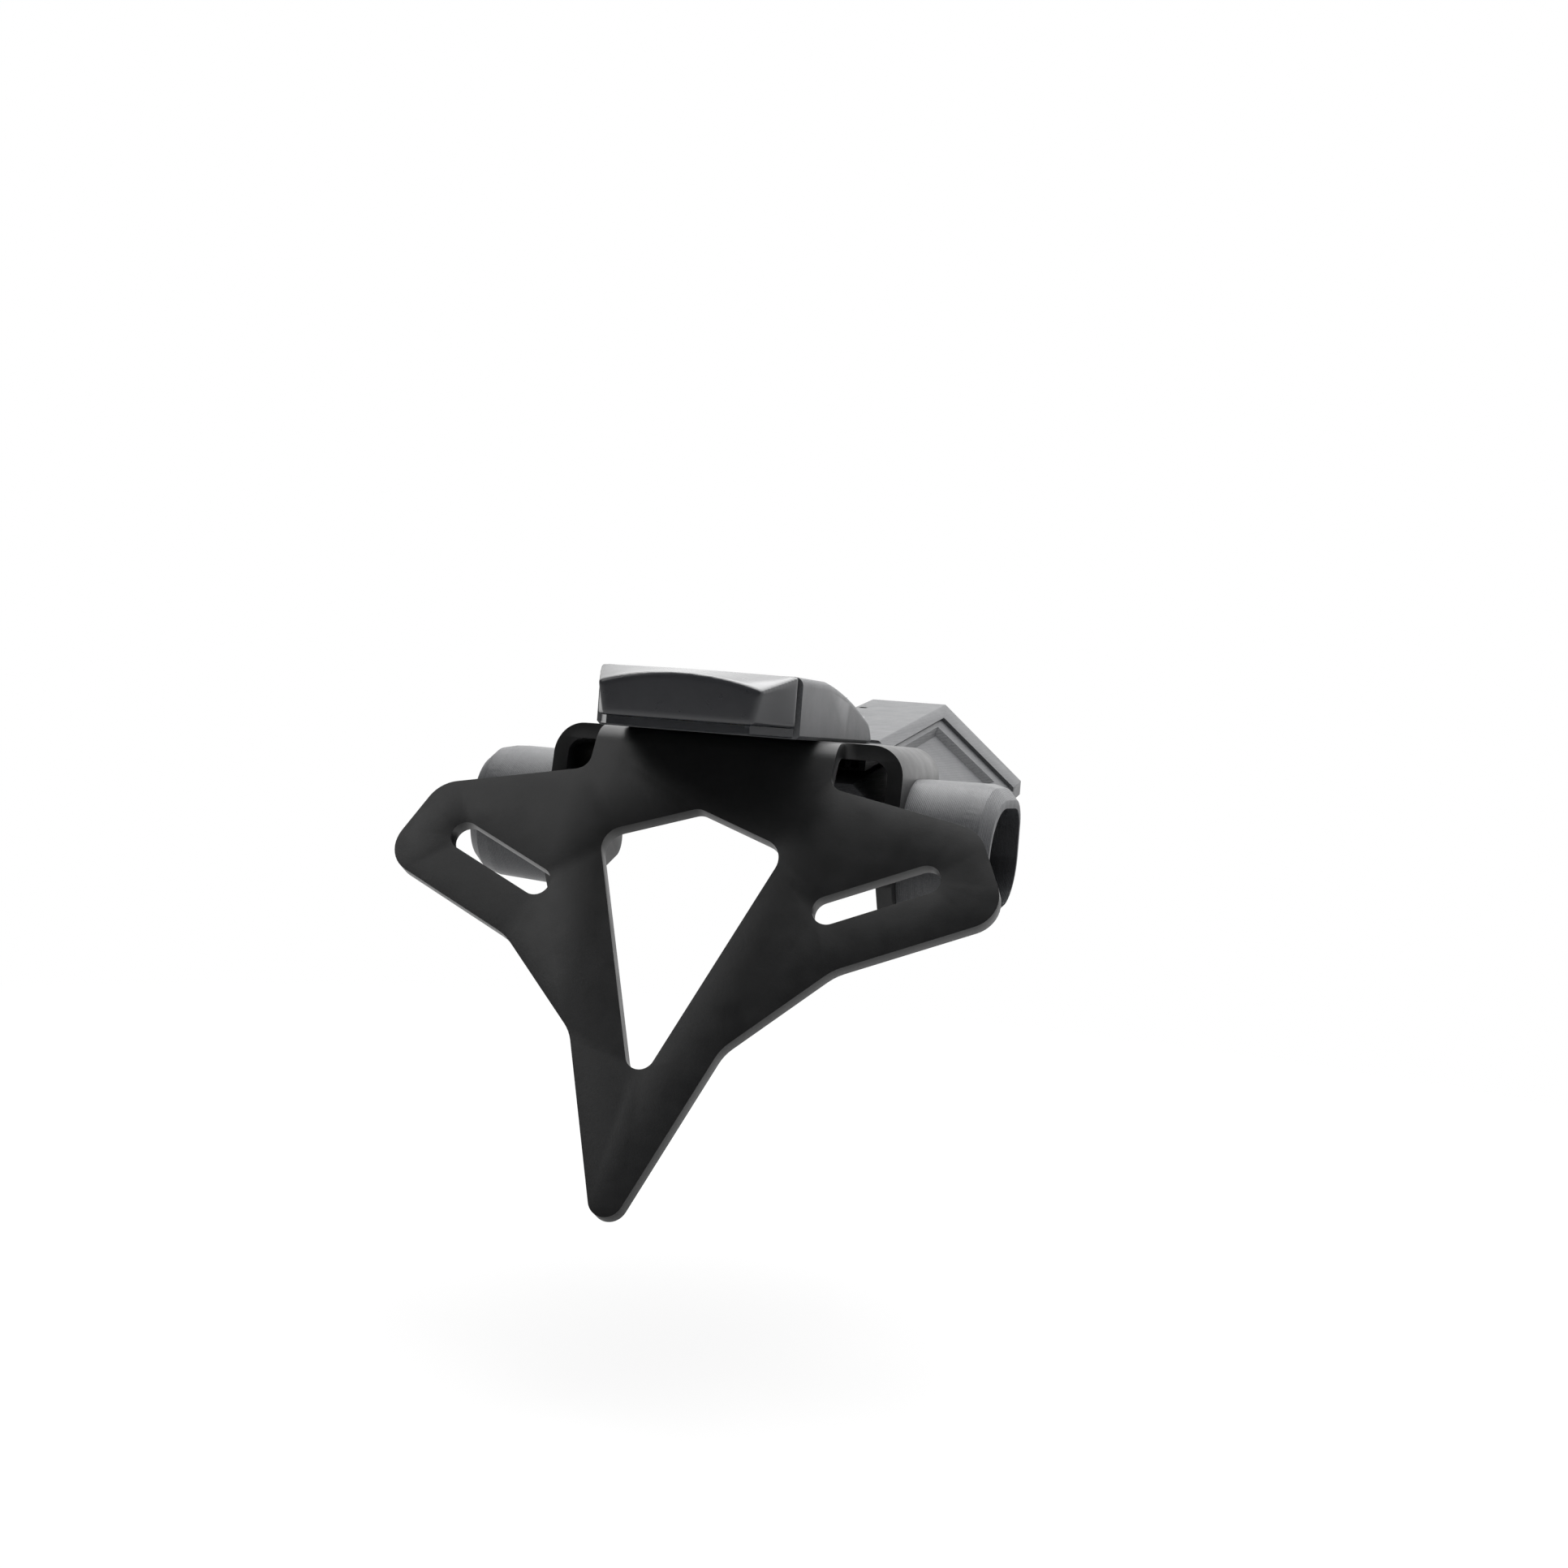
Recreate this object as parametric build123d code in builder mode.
"""License plate holder for a motorbike, with its number plate light and two indicator pods.

The origin is the middle of the four bolt holes that fix the tail block under the bike's tail.
X is across the bike, +Y is forward along the bike and +Z is up. Sizes are in millimetres.
"""
import os
from math import cos, radians, sin, tan

from build123d import *

os.makedirs("parts", exist_ok=True)

# Sheet of the bracket
sheet = 4.0
bend_inner = 4.0
bend_outer = bend_inner + sheet
shelf_top = -6.0
shelf_bottom = shelf_top - sheet

# Channel: the shelf with its two side plates
channel_half = 46.7
channel_rear = -84.5
channel_front = -39.5
side_low_rear = -89.0
side_low_height = -40.6
side_foot_y = -79.5
side_foot_height = -55.1
side_toe_height = -41.6
side_corner = 5.0
side_inner = channel_half - sheet

# Plate wing: it leans back from the fold line, lengths are down the wing from that line
wing_lean = 28.0
fold_y = -92.9
fold_tail = 9.0
neck_half = 31.5
neck_root = 12.6
neck_fillet = 4.0
notch_fillet = 3.0
shoulder_half = 70.2
shoulder_down = 20.6
wing_half = 80.0
wing_down = 42.0
hip_half = 41.4
hip_down = 60.0
waist_half = 18.8
waist_down = 82.4
tip_down = 133.0
wing_corner = 8.0
shoulder_corner = 9.0
hip_corner = 13.0
waist_corner = 11.0
tip_corner = 4.3
kite_top = 21.3
kite_half = 24.3
kite_side = 30.2
kite_bottom = 96.5
kite_side_corner = 5.5
kite_end_corner = 3.6
slot_middle = 48.3
slot_down = 39.8
slot_reach = 24.4
slot_width = 7.4
slot_angle = 25.0

# Tail block: a nylon hood with a flat top strip and sloping flanks, and a lower tongue under the shelf
tail_pitch = 8.1
block_gap = 0.6
block_front = 55.7
ridge_half = 28.0
hood_half = 54.0
flank_drop = 40.6
skirt = 4.2
hood_wall = 6.5
end_wall = 6.0
ridge_round = 0.8
tongue_rear = -82.5
tongue_clear = 1.2
tongue_half = side_inner - tongue_clear
tongue_flank = 8.2
tongue_ridge = tongue_half - tongue_flank
tongue_skirt = 1.5
tongue_wall = 3.6
riser_inset = 2.3
riser_half = tongue_ridge - riser_inset
riser_rear = -60.3
nose_step = 0.8
nose_play = 0.6
arch_half = 30.0
arch_top = -25.0
prong_slot_half = 4.3
prong_slot_root = 26.0
clip_hole = 2.6
clip_hole_x = 6.6
clip_hole_y = 34.0
notch_wide = 2.3
notch_tall = 2.5
notch_deep = 9.0
notch_inset = 2.9
notch_step = 3.9
notch_x = riser_half - notch_inset

# Recess in each flank, lengths are along the ridge and down the flank from it
recess_deep = 1.1
recess_rim = 3.5
recess_rear = -35.0
recess_front_top = 41.5
recess_front_low = 39.0
recess_low = 42.0
panel_deep = 2.2
panel_taper = 35.0
panel_rim = 4.8
panel_rear = -29.0
panel_front = 31.5
panel_low = 29.0

# Mounting to the bike
mount_x = 8.0
mount_y = 10.0
mount_bore = 6.6
sleeve_wall = 1.5
boss_wall = 3.0
boss_deep = 14.0

# Block bolts, through the shelf into inserts
block_bolt = 6.0
block_bolt_inset = 10.0
block_bolt_rear = -74.5
block_bolt_front = -50.5
block_bolt_length = 14.0
insert_wall = 1.6
insert_length = 10.0

# Pods that carry the indicators; corners go rear low, front low, front top, rear top
pod_y = -63.0
pod_z = -32.0
pod_base_long = 45.0
pod_base_tall = 36.0
pod_base_corners = (15.0, 17.0, 11.0, 19.5)
pod_end_long = 37.2
pod_end_tall = 34.4
pod_end_corners = (15.0, 17.0, 10.0, 19.0)
pod_end_shift = -6.4
pod_end_rise = 1.2
pod_reach = 27.5
pod_cut_long = 51.0
pod_cut_rear = 22.5
pod_cut_front = 26.7
pod_draw = 1.5
pod_draw_long = 6.5
pod_lip = 2.2
pod_lip_long = 3.0
pod_floor = 3.4
pod_floor_wall = 3.4
pod_end_wall = 5.0
pod_mouth_drop = 1.2
stalk_bore = 10.5
pod_bolt = 5.0
pod_bolt_offset = 10.2
pod_bolt_length = 16.0

# Number plate light
light_long = 14.5
light_front_half_low = 18.6
light_front_half_top = 20.4
light_setback = 0.6
light_low = -3.5
light_corner_top = 4.6
light_arch_top = 7.9
light_rear_corner = 9.1
light_rear_top = 9.3
light_wall = 1.8
light_rear_wall = 2.2
light_cable = 4.0
lens_drop = 2.3
lens_inset = 0.7
lens_thick = 1.6
lens_lip = 1.6
board_thick = 1.6
board_play = 0.5
board_pillar = 2.0
board_pillar_x = 7.0
led_size = 3.4
led_tall = 1.4
led_gap = 0.6
led_pitch = 13.0
gasket_thick = 1.2
gasket_inset = 0.8
light_screw = 3.0
light_screw_inset = 9.4
light_screw_z = 3.2
light_screw_length = 10.0
light_boss_wall = 1.4
light_boss_long = 7.5

# Shroud behind the light
shroud_half = 26.0
block_bolt_x = shroud_half - block_bolt_inset
shroud_flare = 0.4
shroud_flare_y = -65.0
shroud_rear = -109.8
shroud_top = 9.0
shroud_flat_end = -84.0
shroud_bow_y = -60.0
shroud_bow_z = 5.6
shroud_brow_y = -41.5
shroud_brow_z = 1.0
shroud_cheek_y = -37.2
shroud_cheek_z = -1.2
shroud_nose = -34.8
shroud_nose_z = -5.0
shroud_wall = 2.6
shroud_round = 2.2
shroud_edge = 0.9
shroud_floor_end = -86.0
shroud_over_strip = 0.4
shroud_screw = 5.0
shroud_screw_rear = -76.0
shroud_screw_front = -45.5
shroud_screw_length = 9.0
shroud_boss_wall = 2.6
shroud_boss_rear_tall = 12.4
shroud_boss_front_tall = 6.2
shroud_bore_deep = 5.6

# Cable way through the shelf
cable_bore = 12.0
cable_y = -60.8
grommet_bore = 7.0
grommet_lip = 1.6
grommet_rim = 1.5
pocket_deep = 18.5

# Play between a bolt and its hole, and around a screw head
play = 0.5

# Length of a cut that goes right through
through = 60.0


# Standard parts

def button_screw(diameter, length):
    """Low-head screw with a hex socket; its head stands on z = 0 and the shank hangs below."""
    head = 1.9 * diameter
    tall = 0.55 * diameter
    with BuildPart() as screw:
        Cylinder(head / 2, tall, align=(Align.CENTER, Align.CENTER, Align.MIN))
        chamfer(screw.edges().group_by(Axis.Z)[-1], 0.5 * tall)
        Cylinder(diameter / 2, length, align=(Align.CENTER, Align.CENTER, Align.MAX))
        chamfer(screw.edges().group_by(Axis.Z)[0], 0.1 * diameter)
        with BuildSketch(Plane.XY.offset(tall)):
            RegularPolygon(0.33 * diameter, 6)
        extrude(amount=-0.6 * tall, mode=Mode.SUBTRACT)
    return screw.part


def flat_washer(diameter, thick):
    """Flat washer; its lower face lies on z = 0."""
    with BuildPart() as washer:
        with BuildSketch():
            Circle(diameter)
            Circle(diameter / 2 + 0.2, mode=Mode.SUBTRACT)
        extrude(amount=thick)
    return washer.part


def lock_nut(diameter):
    """Nut with a domed lock ring; its lower face lies on z = 0 and its bore clears the shank."""
    tall = 0.8 * diameter
    ring = 0.2 * diameter
    with BuildPart() as nut:
        with BuildSketch():
            RegularPolygon(0.92 * diameter, 6)
        extrude(amount=tall)
        with BuildSketch(Plane.XY.offset(tall)):
            Circle(0.72 * diameter)
        extrude(amount=ring)
        Hole(diameter / 2)
    return nut.part


def washer_thick(diameter):
    """Thickness of the flat washer that goes with a screw."""
    return 0.16 * diameter + 0.2


# Bracket: wing, neck, shelf and side plates folded from one sheet
lean = radians(wing_lean)
down = Vector(0, -sin(lean), -cos(lean))
inward = Vector(0, cos(lean), -sin(lean))
low_outer = Vector(0, fold_y, shelf_top) + down * fold_tail
low_inner = low_outer + inward * sheet
fold_inner_y = fold_y + sheet * tan(radians(90 - wing_lean) / 2)
block_bolt_places = [
    (x, y) for x in (-block_bolt_x, block_bolt_x) for y in (block_bolt_rear, block_bolt_front)
]
wing_plane = Plane(
    origin=(0, fold_y, shelf_top),
    x_dir=(1, 0, 0),
    z_dir=(0, -cos(lean), sin(lean)),
)

with BuildPart() as plate_bracket:
    # Shelf and side plates as one bent section
    with BuildSketch(Plane.XZ.offset(-channel_front)) as section:
        Polygon(
            (-channel_half, shelf_top),
            (channel_half, shelf_top),
            (channel_half, side_foot_height - 1),
            (side_inner, side_foot_height - 1),
            (side_inner, shelf_bottom),
            (-side_inner, shelf_bottom),
            (-side_inner, side_foot_height - 1),
            (-channel_half, side_foot_height - 1),
            align=None,
        )
        fillet(section.vertices().group_by(Axis.Y)[-1], bend_outer)
        fillet(section.vertices().sort_by(lambda v: abs(v.Y - shelf_bottom))[:2], bend_inner)
    extrude(amount=channel_front - side_low_rear + 1)
    # Outline of the side plates, seen from the side
    with BuildSketch(Plane.YZ) as side:
        Polygon(
            (channel_rear, shelf_top + 1),
            (channel_rear, shelf_bottom),
            (side_low_rear, side_low_height),
            (side_foot_y, side_foot_height),
            (channel_front, side_toe_height),
            (channel_front, shelf_top + 1),
            align=None,
        )
        low_corners = side.vertices().sort_by(Axis.Y)[:3]
        fillet(low_corners, side_corner)
    extrude(amount=channel_half + 1, both=True, mode=Mode.INTERSECT)
    # Neck, fold and start of the shelf, seen from the side
    with BuildSketch(Plane.YZ) as fold:
        Polygon(
            (low_outer.Y, low_outer.Z),
            (fold_y, shelf_top),
            (channel_rear + 1, shelf_top),
            (channel_rear + 1, shelf_bottom),
            (fold_inner_y, shelf_bottom),
            (low_inner.Y, low_inner.Z),
            align=None,
        )
        fillet(fold.vertices().sort_by(lambda v: abs(v.X - fold_y) + abs(v.Y - shelf_top))[0], bend_outer)
        fillet(
            fold.vertices().sort_by(lambda v: abs(v.X - fold_inner_y) + abs(v.Y - shelf_bottom))[0],
            bend_inner,
        )
    extrude(amount=neck_half, both=True)
    # Rounded corners where the neck widens into the shelf
    neck_corners = plate_bracket.edges().filter_by(Axis.Z).filter_by(
        lambda e: abs(abs(e.center().X) - neck_half) < 0.01 and abs(e.center().Y - channel_rear) < 0.01
    )
    fillet(neck_corners, notch_fillet)
    # Wing below the neck
    with BuildSketch(wing_plane) as wing_face:
        with BuildLine():
            Polyline(
                (0, -fold_tail + 1),
                (neck_half, -fold_tail + 1),
                (neck_half, -neck_root),
                (shoulder_half, -shoulder_down),
                (wing_half, -wing_down),
                (hip_half, -hip_down),
                (waist_half, -waist_down),
                (0, -tip_down),
                (0, -fold_tail + 1),
            )
        make_face()
        mirror(about=Plane.YZ)
        for half, drop, corner in (
            (neck_half, neck_root, neck_fillet),
            (shoulder_half, shoulder_down, shoulder_corner),
            (wing_half, wing_down, wing_corner),
            (hip_half, hip_down, hip_corner),
            (waist_half, waist_down, waist_corner),
            (0, tip_down, tip_corner),
        ):
            rows = wing_face.vertices().sort_by(lambda v: abs(abs(v.X) - half) + abs(v.Y + drop))
            fillet(rows[: 1 if half == 0 else 2], corner)
    extrude(amount=-sheet)
    with BuildSketch(wing_plane) as kite:
        Polygon(
            (0, -kite_top),
            (kite_half, -kite_side),
            (0, -kite_bottom),
            (-kite_half, -kite_side),
            align=None,
        )
        fillet(kite.vertices().sort_by(Axis.X)[0], kite_side_corner)
        fillet(kite.vertices().sort_by(Axis.X)[-1], kite_side_corner)
        fillet(kite.vertices().sort_by(Axis.Y)[0], kite_end_corner)
        fillet(kite.vertices().sort_by(Axis.Y)[-1], kite_end_corner)
    extrude(amount=-sheet, mode=Mode.SUBTRACT)
    with BuildSketch(wing_plane):
        for side_sign in (-1, 1):
            with Locations(Location((side_sign * slot_middle, -slot_down), side_sign * slot_angle)):
                SlotCenterToCenter(slot_reach, slot_width)
    extrude(amount=-sheet, mode=Mode.SUBTRACT)
    # Holes in the shelf
    with BuildSketch(Plane.XY.offset(shelf_top)):
        with Locations(*block_bolt_places):
            Circle((block_bolt + play) / 2)
        with Locations((0, shroud_screw_rear), (0, shroud_screw_front)):
            Circle((shroud_screw + play) / 2)
        with Locations((0, cable_y)):
            Circle(cable_bore / 2)
    extrude(amount=-sheet, mode=Mode.SUBTRACT)
    # Holes in both side plates
    with BuildSketch(Plane.YZ):
        with Locations((pod_y, pod_z)):
            Circle(stalk_bore / 2)
        with Locations((pod_y + pod_bolt_offset, pod_z), (pod_y - pod_bolt_offset, pod_z)):
            Circle((pod_bolt + play) / 2)
    extrude(amount=channel_half + 1, both=True, mode=Mode.SUBTRACT)
plate_bracket.part.label = "plate_bracket"
export_step(plate_bracket.part, "parts/plate_bracket.step")

# Tail block: hood with a flat top strip, sloping flanks and a hollow underside
pitch = tan(radians(tail_pitch))
flank_fall = tan(radians(flank_drop))


def strip_height(y):
    """Height of the top strip at this place along the bike."""
    return pitch * y


def block_outline(y, ridge, half, low, wall):
    """Corners of the block's section at y, moved inward by a wall and open below.

    The flanks of the hood and of the tongue lie in one plane, so a wider ridge is a lower one.
    """
    top = strip_height(y) - (ridge - ridge_half) * flank_fall
    foot = top - (half - ridge) * flank_fall - low - (1 if wall else 0)
    inner_ridge = ridge - wall * tan(radians(flank_drop / 2))
    side_x = half - wall
    edge = top - wall - (side_x - inner_ridge) * flank_fall
    return [
        (-side_x, foot),
        (-side_x, edge),
        (-inner_ridge, top - wall),
        (inner_ridge, top - wall),
        (side_x, edge),
        (side_x, foot),
    ]


strip_tilt = radians(tail_pitch)
strip_plane = Plane(origin=(0, 0, 0), x_dir=(1, 0, 0), z_dir=(0, -sin(strip_tilt), cos(strip_tilt)))
mount_places = [(x, y) for x in (-mount_x, mount_x) for y in (-mount_y, mount_y)]
sleeve_half = mount_bore / 2 + sleeve_wall
insert_half = block_bolt / 2 + insert_wall
boss_half = insert_half + boss_wall
hood_rear = channel_front + block_gap
tongue_drop = (tongue_ridge - ridge_half) * flank_fall
riser_foot = strip_height(riser_rear) - tongue_drop
boss_low = shelf_bottom - insert_length - 1.0
screw_pocket = 0.95 * shroud_screw + play
grommet_pocket = cable_bore / 2 + grommet_lip + play

with BuildPart() as tail_block:
    # Hood, hollow from below
    for y in (hood_rear, block_front):
        with BuildSketch(Plane.XZ.offset(-y)):
            Polygon(*block_outline(y, ridge_half, hood_half, skirt, 0), align=None)
    loft(ruled=True)
    ridges = tail_block.edges().filter_by(
        lambda e: e.length > 60 and abs(abs(e.center().X) - ridge_half) < 0.1
    )
    fillet(ridges, ridge_round)
    for y in (hood_rear + end_wall, block_front - end_wall):
        with BuildSketch(Plane.XZ.offset(-y)):
            Polygon(*block_outline(y, ridge_half, hood_half, skirt, hood_wall), align=None)
    loft(ruled=True, mode=Mode.SUBTRACT)
    # Tongue under the shelf, and the riser on it that the shelf lies on
    for y in (tongue_rear, hood_rear + 1):
        with BuildSketch(Plane.XZ.offset(-y)):
            Polygon(*block_outline(y, tongue_ridge, tongue_half, tongue_skirt, 0), align=None)
    loft(ruled=True)
    for y in (tongue_rear + tongue_wall, hood_rear):
        with BuildSketch(Plane.XZ.offset(-y)):
            Polygon(*block_outline(y, tongue_ridge, tongue_half, tongue_skirt, tongue_wall), align=None)
    loft(ruled=True, mode=Mode.SUBTRACT)
    with BuildSketch(Plane.XY.offset(shelf_bottom)):
        with Locations((0, riser_rear)):
            Rectangle(2 * riser_half, hood_rear + 1 - riser_rear, align=(Align.CENTER, Align.MIN))
    extrude(amount=riser_foot - 1 - shelf_bottom)
    with BuildSketch(Plane.XY.offset(shelf_bottom)):
        with Locations((0, hood_rear)):
            Rectangle(2 * channel_half, hood_rear - tongue_rear + 5, align=(Align.CENTER, Align.MAX))
    extrude(amount=30, mode=Mode.SUBTRACT)
    # Bosses for the inserts and for the mounting sleeves
    with BuildSketch(Plane.XY.offset(shelf_bottom)):
        with Locations(*block_bolt_places):
            Circle(boss_half)
    extrude(amount=boss_low - shelf_bottom)
    with BuildSketch(strip_plane.offset(-2)):
        with Locations(*mount_places):
            Circle(sleeve_half + boss_wall)
    extrude(amount=2 - boss_deep)
    with BuildSketch(strip_plane):
        with Locations(*mount_places):
            Circle(sleeve_half)
    extrude(amount=-boss_deep - 1, mode=Mode.SUBTRACT)
    with BuildSketch(Plane.XY.offset(shelf_bottom)):
        with Locations(*block_bolt_places):
            Circle(insert_half)
    extrude(amount=-insert_length, mode=Mode.SUBTRACT)
    # Way for the light's cable, and room for the heads of the shroud screws
    with BuildSketch(Plane.XY.offset(shelf_bottom)):
        with Locations((0, cable_y)):
            Circle(grommet_pocket)
        with Locations((0, shroud_screw_rear), (0, shroud_screw_front)):
            Circle(screw_pocket)
    extrude(amount=-pocket_deep, mode=Mode.SUBTRACT)
    # Open slot between the two front prongs, and the clip holes beside it
    with BuildSketch(strip_plane.offset(5)):
        with Locations((0, prong_slot_root + prong_slot_half)):
            Circle(prong_slot_half)
            Rectangle(2 * prong_slot_half, through, align=(Align.CENTER, Align.MIN))
    extrude(amount=-through, mode=Mode.SUBTRACT)
    with BuildSketch(strip_plane):
        with Locations((-clip_hole_x, clip_hole_y), (clip_hole_x, clip_hole_y)):
            Circle(clip_hole / 2)
    extrude(amount=-hood_wall - 2, mode=Mode.SUBTRACT)
    # Step under the nose of the shroud, and an arch for wiring through the hood's rear wall
    with BuildSketch(Plane.YZ):
        Polygon(
            (hood_rear - 1, strip_height(hood_rear - 1) - nose_step),
            (shroud_nose + nose_play, strip_height(shroud_nose + nose_play) - nose_step),
            (shroud_nose + nose_play, shelf_top + 10),
            (hood_rear - 1, shelf_top + 10),
            align=None,
        )
    extrude(amount=hood_half, both=True, mode=Mode.SUBTRACT)
    with BuildSketch(Plane.XZ.offset(-hood_rear)):
        with Locations((0, arch_top)):
            Rectangle(2 * arch_half, through, align=(Align.CENTER, Align.MAX))
    extrude(amount=-end_wall, mode=Mode.SUBTRACT)
    # Small rectangular notches in the rear edge of the riser
    with BuildSketch(Plane.XZ.offset(-riser_rear)):
        for side_sign in (-1, 1):
            with Locations(
                (side_sign * notch_x, shelf_bottom), (side_sign * (notch_x - notch_step), shelf_bottom)
            ):
                Rectangle(notch_wide, notch_tall, align=(Align.CENTER, Align.MAX))
    extrude(amount=-notch_deep, mode=Mode.SUBTRACT)
    # Recess and deeper panel in each flank
    for side_sign in (-1, 1):
        along = Vector(0, cos(strip_tilt), sin(strip_tilt))
        outward = Vector(side_sign * flank_fall, -tan(strip_tilt), 1).normalized()
        flank = Plane(origin=(side_sign * ridge_half, 0, 0), x_dir=tuple(along), z_dir=tuple(outward))
        with BuildSketch(flank.offset(-recess_deep)):
            Polygon(
                (recess_rear, -side_sign * recess_rim),
                (recess_front_top, -side_sign * recess_rim),
                (recess_front_low, -side_sign * recess_low),
                (recess_rear, -side_sign * recess_low),
                align=None,
            )
        extrude(amount=2 * recess_deep, mode=Mode.SUBTRACT)
        with BuildSketch(flank.offset(-recess_deep)):
            Polygon(
                (panel_rear, -side_sign * panel_rim),
                (panel_front, -side_sign * panel_rim),
                (panel_front, -side_sign * panel_low),
                (panel_rear, -side_sign * panel_low),
                align=None,
            )
        extrude(amount=-panel_deep, taper=panel_taper, mode=Mode.SUBTRACT)
tail_block.part.label = "tail_block"
export_step(tail_block.part, "parts/tail_block.step")

# Steel sleeves that take the four bolts from the bike
with BuildPart() as mount_sleeves:
    with BuildSketch(strip_plane):
        with Locations(*mount_places):
            Circle(sleeve_half)
            Circle(mount_bore / 2, mode=Mode.SUBTRACT)
    extrude(amount=-boss_deep)
mount_sleeves.part.label = "mount_sleeves"
export_step(mount_sleeves.part, "parts/mount_sleeves.step")

# Threaded inserts in the tongue
with BuildPart() as block_inserts:
    with BuildSketch(Plane.XY.offset(shelf_bottom)):
        with Locations(*block_bolt_places):
            Circle(insert_half)
            Circle(block_bolt / 2, mode=Mode.SUBTRACT)
    extrude(amount=-insert_length)
block_inserts.part.label = "block_inserts"
export_step(block_inserts.part, "parts/block_inserts.step")

# Washers and bolts that clamp the shelf to the tongue
block_washer = washer_thick(block_bolt)
with BuildPart() as block_washers:
    with Locations(*[(x, y, shelf_top) for x, y in block_bolt_places]):
        add(flat_washer(block_bolt, block_washer))
block_washers.part.label = "block_washers"
export_step(block_washers.part, "parts/block_washers.step")

with BuildPart() as block_bolts:
    with Locations(*[(x, y, shelf_top + block_washer) for x, y in block_bolt_places]):
        add(button_screw(block_bolt, block_bolt_length))
block_bolts.part.label = "block_bolts"
export_step(block_bolts.part, "parts/block_bolts.step")


# Pods: hollow cups on the outer faces of the side plates
pod_plane = Plane(origin=(channel_half, 0, 0), x_dir=(0, 1, 0), z_dir=(1, 0, 0))
pod_bolt_places = [(pod_y - pod_bolt_offset, pod_z), (pod_y + pod_bolt_offset, pod_z)]


def pod_section(reach, wall, drop=0.0):
    """Corner points and corner radii of a pod's section at a distance from the side plate."""
    share = reach / pod_reach
    middle_y = pod_y + pod_end_shift * share
    middle_z = pod_z + pod_end_rise * share - drop
    half_long = (pod_base_long + (pod_end_long - pod_base_long) * share) / 2 - wall
    half_tall = (pod_base_tall + (pod_end_tall - pod_base_tall) * share) / 2 - wall
    points = [
        (middle_y - half_long, middle_z - half_tall),
        (middle_y + half_long, middle_z - half_tall),
        (middle_y + half_long, middle_z + half_tall),
        (middle_y - half_long, middle_z + half_tall),
    ]
    radii = [a + (b - a) * share - wall for a, b in zip(pod_base_corners, pod_end_corners)]
    return points, radii


with BuildPart() as right_pod:
    for reach in (0, pod_reach):
        points, radii = pod_section(reach, 0)
        with BuildSketch(pod_plane.offset(reach)) as pod_face:
            Polygon(*points, align=None)
            for point, radius in zip(points, radii):
                fillet(pod_face.vertices().sort_by_distance((*point, 0))[0], radius)
    loft()
    # Slanted open end
    with BuildSketch(Plane.XY):
        Polygon(
            (channel_half + pod_cut_rear, pod_y - pod_cut_long / 2),
            (channel_half + pod_cut_front, pod_y + pod_cut_long / 2),
            (channel_half + pod_reach + 5, pod_y + pod_cut_long / 2),
            (channel_half + pod_reach + 5, pod_y - pod_cut_long / 2),
            align=None,
        )
    extrude(amount=100, both=True, mode=Mode.SUBTRACT)
    # The open end draws in gently, then has a bevelled lip
    for inset, long in ((pod_draw, pod_draw_long), (pod_lip, pod_lip_long)):
        end_face = right_pod.faces().sort_by(Axis.X)[-1]
        chamfer(end_face.edges(), inset, long, reference=end_face)
    for reach, wall, drop in ((pod_floor, pod_floor_wall, 0), (pod_reach, pod_end_wall, pod_mouth_drop)):
        points, radii = pod_section(reach, wall, drop)
        with BuildSketch(pod_plane.offset(reach)) as pod_face:
            Polygon(*points, align=None)
            for point, radius in zip(points, radii):
                fillet(pod_face.vertices().sort_by_distance((*point, 0))[0], radius)
    loft(mode=Mode.SUBTRACT)
    # Bores through the floor
    with BuildSketch(pod_plane):
        with Locations((pod_y, pod_z)):
            Circle(stalk_bore / 2)
        with Locations(*pod_bolt_places):
            Circle((pod_bolt + play) / 2)
    extrude(amount=pod_floor, mode=Mode.SUBTRACT)
right_pod.part.label = "right_pod"
export_step(right_pod.part, "parts/right_pod.step")

with BuildPart() as left_pod:
    mirror(right_pod.part, about=Plane.YZ)
left_pod.part.label = "left_pod"
export_step(left_pod.part, "parts/left_pod.step")

# Fasteners of each pod: head inside the channel, washer and nut in the cup
bolt_plane = Plane(origin=(side_inner, 0, 0), x_dir=(0, 1, 0), z_dir=(-1, 0, 0))
nut_plane = Plane(origin=(channel_half + pod_floor, 0, 0), x_dir=(0, 1, 0), z_dir=(1, 0, 0))
pod_washer = washer_thick(pod_bolt)

with BuildPart() as right_pod_bolts:
    with Locations(*[bolt_plane.location * Location((y, -z, 0)) for y, z in pod_bolt_places]):
        add(button_screw(pod_bolt, pod_bolt_length))
right_pod_bolts.part.label = "right_pod_bolts"
export_step(right_pod_bolts.part, "parts/right_pod_bolts.step")

with BuildPart() as right_pod_washers:
    with Locations(*[nut_plane.location * Location((y, z, 0)) for y, z in pod_bolt_places]):
        add(flat_washer(pod_bolt, pod_washer))
right_pod_washers.part.label = "right_pod_washers"
export_step(right_pod_washers.part, "parts/right_pod_washers.step")

with BuildPart() as right_pod_nuts:
    with Locations(*[nut_plane.location * Location((y, z, pod_washer)) for y, z in pod_bolt_places]):
        add(lock_nut(pod_bolt))
right_pod_nuts.part.label = "right_pod_nuts"
export_step(right_pod_nuts.part, "parts/right_pod_nuts.step")

with BuildPart() as left_pod_bolts:
    mirror(right_pod_bolts.part, about=Plane.YZ)
left_pod_bolts.part.label = "left_pod_bolts"
export_step(left_pod_bolts.part, "parts/left_pod_bolts.step")

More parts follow.
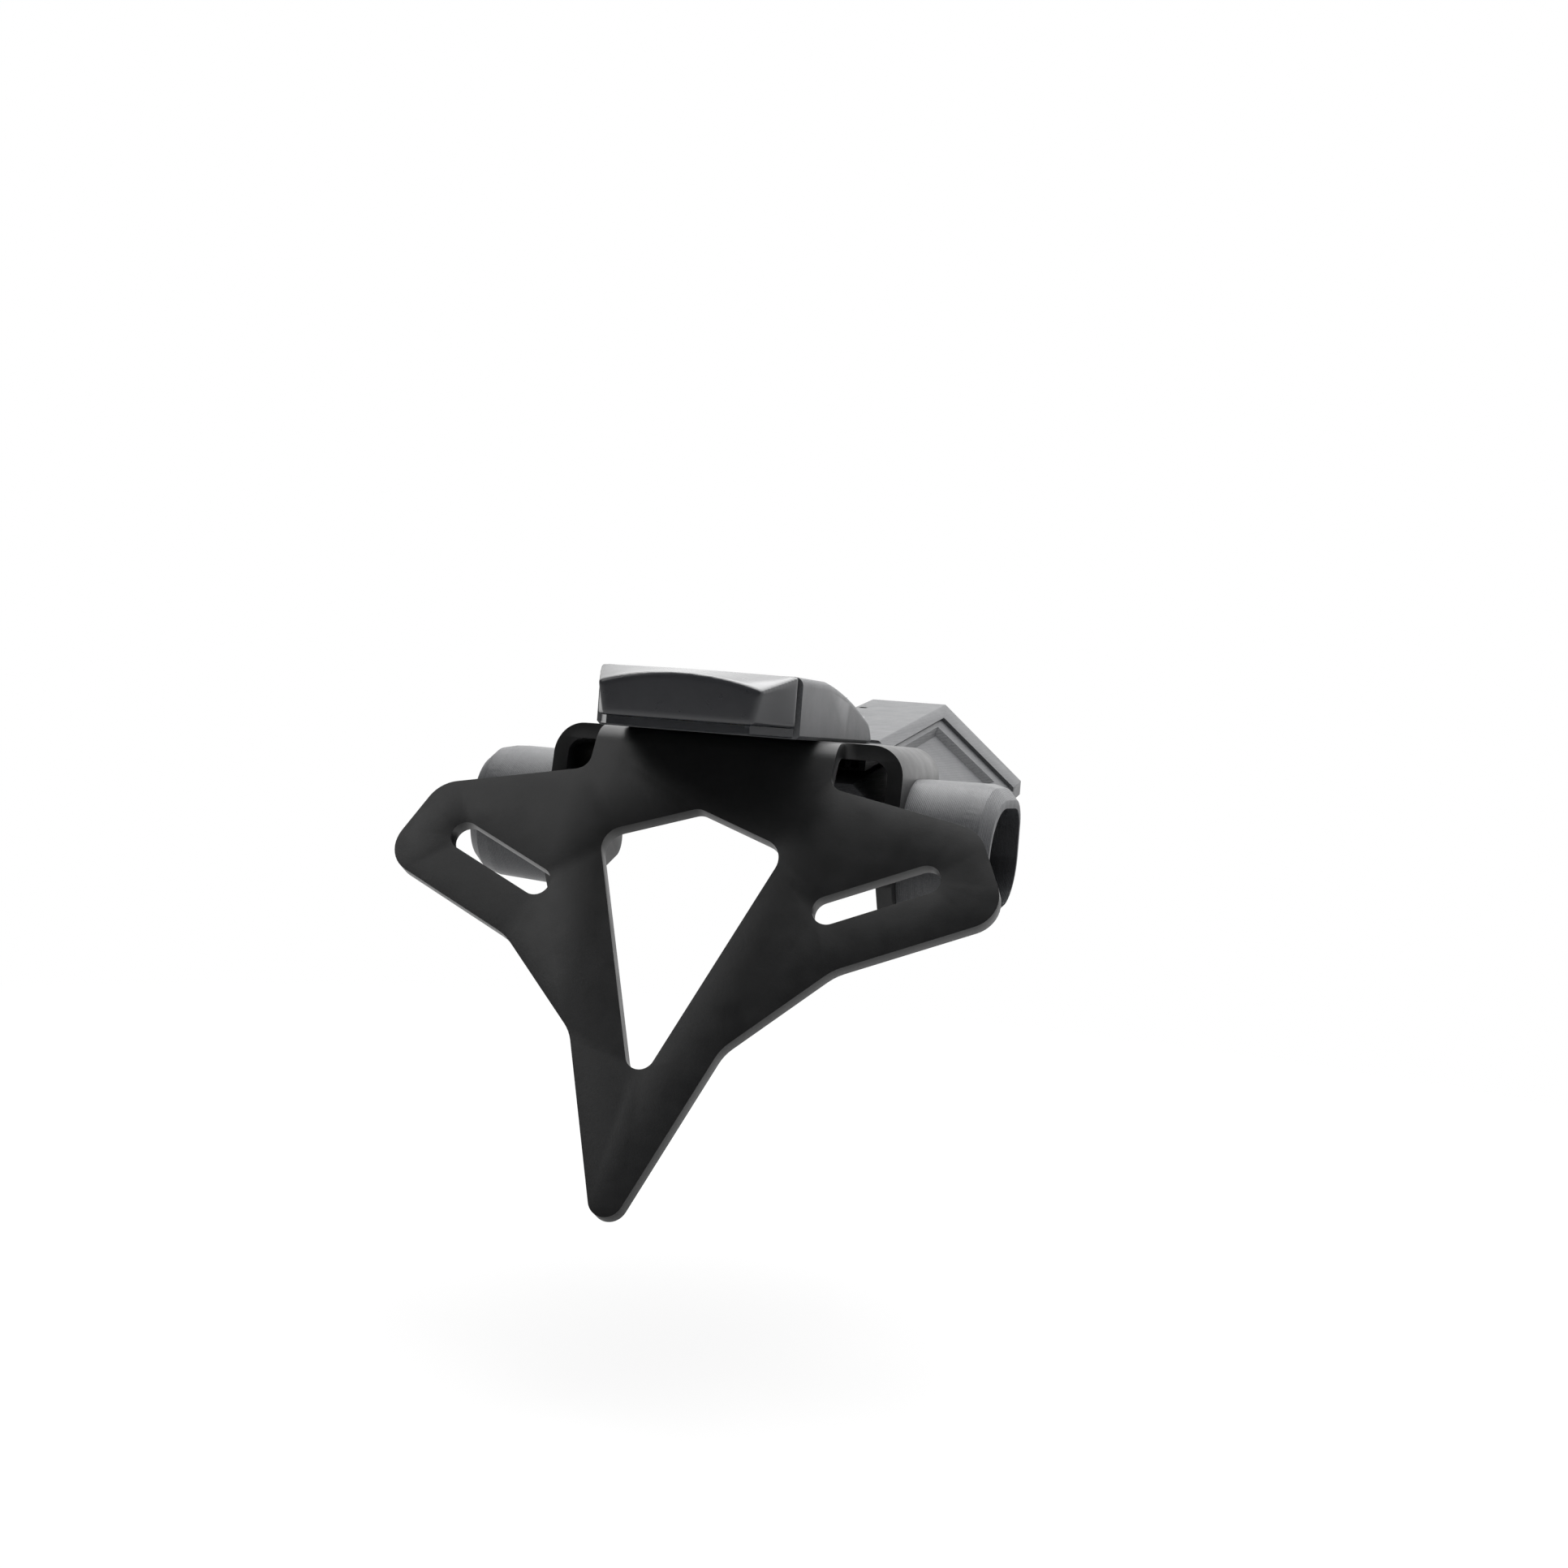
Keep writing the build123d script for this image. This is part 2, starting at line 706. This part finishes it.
with BuildPart() as left_pod_washers:
    mirror(right_pod_washers.part, about=Plane.YZ)
left_pod_washers.part.label = "left_pod_washers"
export_step(left_pod_washers.part, "parts/left_pod_washers.step")

with BuildPart() as left_pod_nuts:
    mirror(right_pod_nuts.part, about=Plane.YZ)
left_pod_nuts.part.label = "left_pod_nuts"
export_step(left_pod_nuts.part, "parts/left_pod_nuts.step")


# Number plate light: a bevelled housing that opens downward
light_rear = shroud_rear - gasket_thick
light_front = light_rear - light_long
light_rear_half = shroud_half - light_setback
light_screw_x = light_rear_half - light_screw_inset


def light_share(y):
    """Share of the way from the light's front face to its rear face."""
    return (y - light_front) / (light_rear - light_front)


def light_half_low(y):
    """Half width of the light at its lower edge."""
    return light_front_half_low + (light_rear_half - light_front_half_low) * light_share(y)


def light_half_top(y):
    """Half width of the light at its upper corners."""
    return light_front_half_top + (light_rear_half - light_front_half_top) * light_share(y)


def light_corner(y):
    """Height of the light's upper corners."""
    return light_corner_top + (light_rear_corner - light_corner_top) * light_share(y)


def light_crown(y):
    """Height of the light's roof in the middle."""
    return light_arch_top + (light_rear_top - light_arch_top) * light_share(y)


board_low = light_low - lens_drop + lens_thick + led_gap + led_tall
board_top = board_low + board_thick
light_middle = (light_front + light_rear) / 2
light_screw_places = [(-light_screw_x, light_screw_z), (light_screw_x, light_screw_z)]

with BuildPart() as light_housing:
    for y in (light_front, light_rear):
        with BuildSketch(Plane.XZ.offset(-y)):
            with BuildLine():
                Polyline(
                    (-light_half_top(y), light_corner(y)),
                    (-light_half_low(y), light_low),
                    (light_half_low(y), light_low),
                    (light_half_top(y), light_corner(y)),
                )
                ThreePointArc(
                    (light_half_top(y), light_corner(y)),
                    (0, light_crown(y)),
                    (-light_half_top(y), light_corner(y)),
                )
            make_face()
    loft(ruled=True)
    for y in (light_front + light_wall, light_rear - light_rear_wall):
        with BuildSketch(Plane.XZ.offset(-y)):
            with BuildLine():
                Polyline(
                    (-light_half_top(y) + light_wall, light_corner(y) - light_wall),
                    (-light_half_low(y) + light_wall, light_low),
                    (light_half_low(y) - light_wall, light_low),
                    (light_half_top(y) - light_wall, light_corner(y) - light_wall),
                )
                ThreePointArc(
                    (light_half_top(y) - light_wall, light_corner(y) - light_wall),
                    (0, light_crown(y) - light_wall),
                    (-light_half_top(y) + light_wall, light_corner(y) - light_wall),
                )
            make_face()
    loft(ruled=True, mode=Mode.SUBTRACT)
    # Bosses for the light screws and pillars that carry the board
    with BuildSketch(Plane.XZ.offset(-light_rear)):
        with Locations(*light_screw_places):
            Circle(light_screw / 2 + light_boss_wall)
    extrude(amount=light_boss_long)
    with BuildSketch(Plane.XZ.offset(-light_rear)):
        with Locations(*light_screw_places):
            Circle(light_screw / 2)
    extrude(amount=light_boss_long - 1, mode=Mode.SUBTRACT)
    with BuildSketch(Plane.XY.offset(board_top)):
        with Locations((-board_pillar_x, light_middle), (board_pillar_x, light_middle)):
            Circle(board_pillar)
    extrude(amount=light_arch_top - light_wall / 2 - board_top)
    # Way for the cable
    with BuildSketch(Plane.XZ.offset(-light_rear)):
        with Locations((0, light_screw_z)):
            Circle(light_cable / 2)
    extrude(amount=light_rear_wall, mode=Mode.SUBTRACT)
light_housing.part.label = "light_housing"
export_step(light_housing.part, "parts/light_housing.step")

# Clear lens under the housing
with BuildPart() as light_lens:
    with BuildSketch(Plane.XY.offset(light_low)):
        Polygon(
            (-light_half_low(light_front) + lens_inset, light_front + lens_inset),
            (light_half_low(light_front) - lens_inset, light_front + lens_inset),
            (light_half_low(light_rear) - lens_inset, light_rear),
            (-light_half_low(light_rear) + lens_inset, light_rear),
            align=None,
        )
    extrude(amount=-lens_drop)
    chamfer(light_lens.edges().group_by(Axis.Z)[0], 0.3)
    with BuildSketch(Plane.XY.offset(light_low)):
        Polygon(
            (-light_half_low(light_front) + lens_inset + lens_lip, light_front + lens_inset + lens_lip),
            (light_half_low(light_front) - lens_inset - lens_lip, light_front + lens_inset + lens_lip),
            (light_half_low(light_rear) - lens_inset - lens_lip, light_rear - lens_lip),
            (-light_half_low(light_rear) + lens_inset + lens_lip, light_rear - lens_lip),
            align=None,
        )
    extrude(amount=lens_thick - lens_drop, mode=Mode.SUBTRACT)
light_lens.part.label = "light_lens"
export_step(light_lens.part, "parts/light_lens.step")

# Board with three lamps
board_front = light_front + light_wall + board_play
board_rear = light_rear - light_rear_wall - board_play
with BuildPart() as light_board:
    with BuildSketch(Plane.XY.offset(board_low)):
        Polygon(
            (-light_half_low(board_front) + light_wall + board_play, board_front),
            (light_half_low(board_front) - light_wall - board_play, board_front),
            (light_half_low(board_rear) - light_wall - board_play, board_rear),
            (-light_half_low(board_rear) + light_wall + board_play, board_rear),
            align=None,
        )
    extrude(amount=board_thick)
light_board.part.label = "light_board"
export_step(light_board.part, "parts/light_board.step")

with BuildPart() as light_leds:
    with BuildSketch(Plane.XY.offset(board_low)):
        with Locations((-led_pitch, light_middle), (0, light_middle), (led_pitch, light_middle)):
            Rectangle(led_size, led_size)
    extrude(amount=-led_tall)
    chamfer(light_leds.edges().group_by(Axis.Z)[0], 0.3)
light_leds.part.label = "light_leds"
export_step(light_leds.part, "parts/light_leds.step")

# Gasket between the light and the shroud
with BuildPart() as light_gasket:
    with BuildSketch(Plane.XZ.offset(-light_rear)):
        with Locations((0, light_low + gasket_inset)):
            Rectangle(
                2 * (light_rear_half - gasket_inset),
                light_rear_corner - light_low - 2 * gasket_inset,
                align=(Align.CENTER, Align.MIN),
            )
        with Locations(*light_screw_places):
            Circle((light_screw + play) / 2, mode=Mode.SUBTRACT)
        with Locations((0, light_screw_z)):
            Circle(light_cable / 2, mode=Mode.SUBTRACT)
    extrude(amount=-gasket_thick)
light_gasket.part.label = "light_gasket"
export_step(light_gasket.part, "parts/light_gasket.step")

# Shroud: a thin hood from the light down to the tail block
shroud_low = shelf_top
shroud_nose_half = shroud_half + shroud_flare
with BuildPart() as light_shroud:
    with BuildSketch(mode=Mode.PRIVATE) as hump:
        with BuildLine():
            Polyline(
                (shroud_nose, shroud_nose_z),
                (shroud_nose, shroud_low),
                (shroud_rear, shroud_low),
                (shroud_rear, shroud_top),
                (shroud_flat_end, shroud_top),
            )
            ThreePointArc(
                (shroud_flat_end, shroud_top), (shroud_bow_y, shroud_bow_z), (shroud_brow_y, shroud_brow_z)
            )
            ThreePointArc(
                (shroud_brow_y, shroud_brow_z), (shroud_cheek_y, shroud_cheek_z), (shroud_nose, shroud_nose_z)
            )
        make_face()
    with BuildSketch(Plane.YZ):
        add(hump.sketch)
    extrude(amount=shroud_nose_half + 1, both=True)
    with BuildSketch(Plane.XY.offset(shroud_low)):
        Polygon(
            (-shroud_half, shroud_rear),
            (shroud_half, shroud_rear),
            (shroud_half, shroud_flare_y),
            (shroud_nose_half, shroud_nose),
            (-shroud_nose_half, shroud_nose),
            (-shroud_half, shroud_flare_y),
            align=None,
        )
    extrude(amount=shroud_top - shroud_low + 1, mode=Mode.INTERSECT)
    top_rims = light_shroud.edges().filter_by(
        lambda e: e.center().Z > shroud_nose_z
        and abs(e.center().X) > shroud_half - 0.01
        and abs(e.tangent_at(0.5).Z) < 0.99
    )
    fillet(top_rims, shroud_round)
    low_rims = light_shroud.edges().group_by(Axis.Z)[0].filter_by(lambda e: abs(e.center().X) > 1)
    chamfer(low_rims, shroud_edge)
    # Hollow, with a floor only behind the shelf
    with BuildSketch(Plane.YZ):
        offset(hump.sketch, -shroud_wall)
    extrude(amount=shroud_half - shroud_wall, both=True, mode=Mode.SUBTRACT)
    with BuildSketch(Plane.XY.offset(shroud_low)):
        with Locations((0, shroud_floor_end)):
            Rectangle(
                2 * (shroud_half - shroud_wall),
                shroud_brow_y - shroud_floor_end,
                align=(Align.CENTER, Align.MIN),
            )
    extrude(amount=shroud_wall, mode=Mode.SUBTRACT)
    # Bosses for the shroud screws
    for screw_y, boss_tall in (
        (shroud_screw_rear, shroud_boss_rear_tall),
        (shroud_screw_front, shroud_boss_front_tall),
    ):
        with BuildSketch(Plane.XY.offset(shroud_low)):
            with Locations((0, screw_y)):
                Circle(shroud_screw / 2 + shroud_boss_wall)
        extrude(amount=boss_tall)
        with BuildSketch(Plane.XY.offset(shroud_low)):
            with Locations((0, screw_y)):
                Circle(shroud_screw / 2)
        extrude(amount=shroud_bore_deep, mode=Mode.SUBTRACT)
    # Holes in the rear wall
    with BuildSketch(Plane.XZ.offset(-shroud_rear)):
        with Locations(*light_screw_places):
            Circle((light_screw + play) / 2)
        with Locations((0, light_screw_z)):
            Circle(light_cable / 2)
    extrude(amount=-shroud_wall, mode=Mode.SUBTRACT)
    # Room over the top strip of the tail block
    with BuildSketch(Plane.YZ):
        Polygon(
            (channel_front, shroud_low - 1),
            (channel_front, strip_height(channel_front) - nose_step + shroud_over_strip),
            (shroud_nose + 5, strip_height(shroud_nose + 5) - nose_step + shroud_over_strip),
            (shroud_nose + 5, shroud_low - 1),
            align=None,
        )
    extrude(amount=shroud_nose_half + 1, both=True, mode=Mode.SUBTRACT)
light_shroud.part.label = "light_shroud"
export_step(light_shroud.part, "parts/light_shroud.step")

# Screws from inside the shroud into the light
light_screw_plane = Plane(
    origin=(0, shroud_rear + shroud_wall, 0), x_dir=(-1, 0, 0), z_dir=(0, 1, 0)
)
with BuildPart() as light_screws:
    with Locations(*[light_screw_plane.location * Location((x, z, 0)) for x, z in light_screw_places]):
        add(button_screw(light_screw, light_screw_length))
light_screws.part.label = "light_screws"
export_step(light_screws.part, "parts/light_screws.step")

# Screws from under the shelf into the shroud
under_shelf = Plane(origin=(0, 0, shelf_bottom), x_dir=(1, 0, 0), z_dir=(0, 0, -1))
with BuildPart() as shroud_screws:
    with Locations(
        *[under_shelf.location * Location((0, -y, 0)) for y in (shroud_screw_rear, shroud_screw_front)]
    ):
        add(button_screw(shroud_screw, shroud_screw_length))
shroud_screws.part.label = "shroud_screws"
export_step(shroud_screws.part, "parts/shroud_screws.step")

# Rubber grommet in the shelf
with BuildPart() as cable_grommet:
    with BuildSketch(Plane.YZ):
        Polygon(
            (cable_y + grommet_bore / 2, shelf_top + grommet_rim),
            (cable_y + cable_bore / 2 + grommet_lip, shelf_top + grommet_rim),
            (cable_y + cable_bore / 2 + grommet_lip, shelf_top),
            (cable_y + cable_bore / 2, shelf_top),
            (cable_y + cable_bore / 2, shelf_bottom),
            (cable_y + cable_bore / 2 + grommet_lip, shelf_bottom),
            (cable_y + cable_bore / 2 + grommet_lip, shelf_bottom - grommet_rim),
            (cable_y + grommet_bore / 2, shelf_bottom - grommet_rim),
            align=None,
        )
    revolve(axis=Axis((0, cable_y, 0), (0, 0, 1)))
cable_grommet.part.label = "cable_grommet"
export_step(cable_grommet.part, "parts/cable_grommet.step")
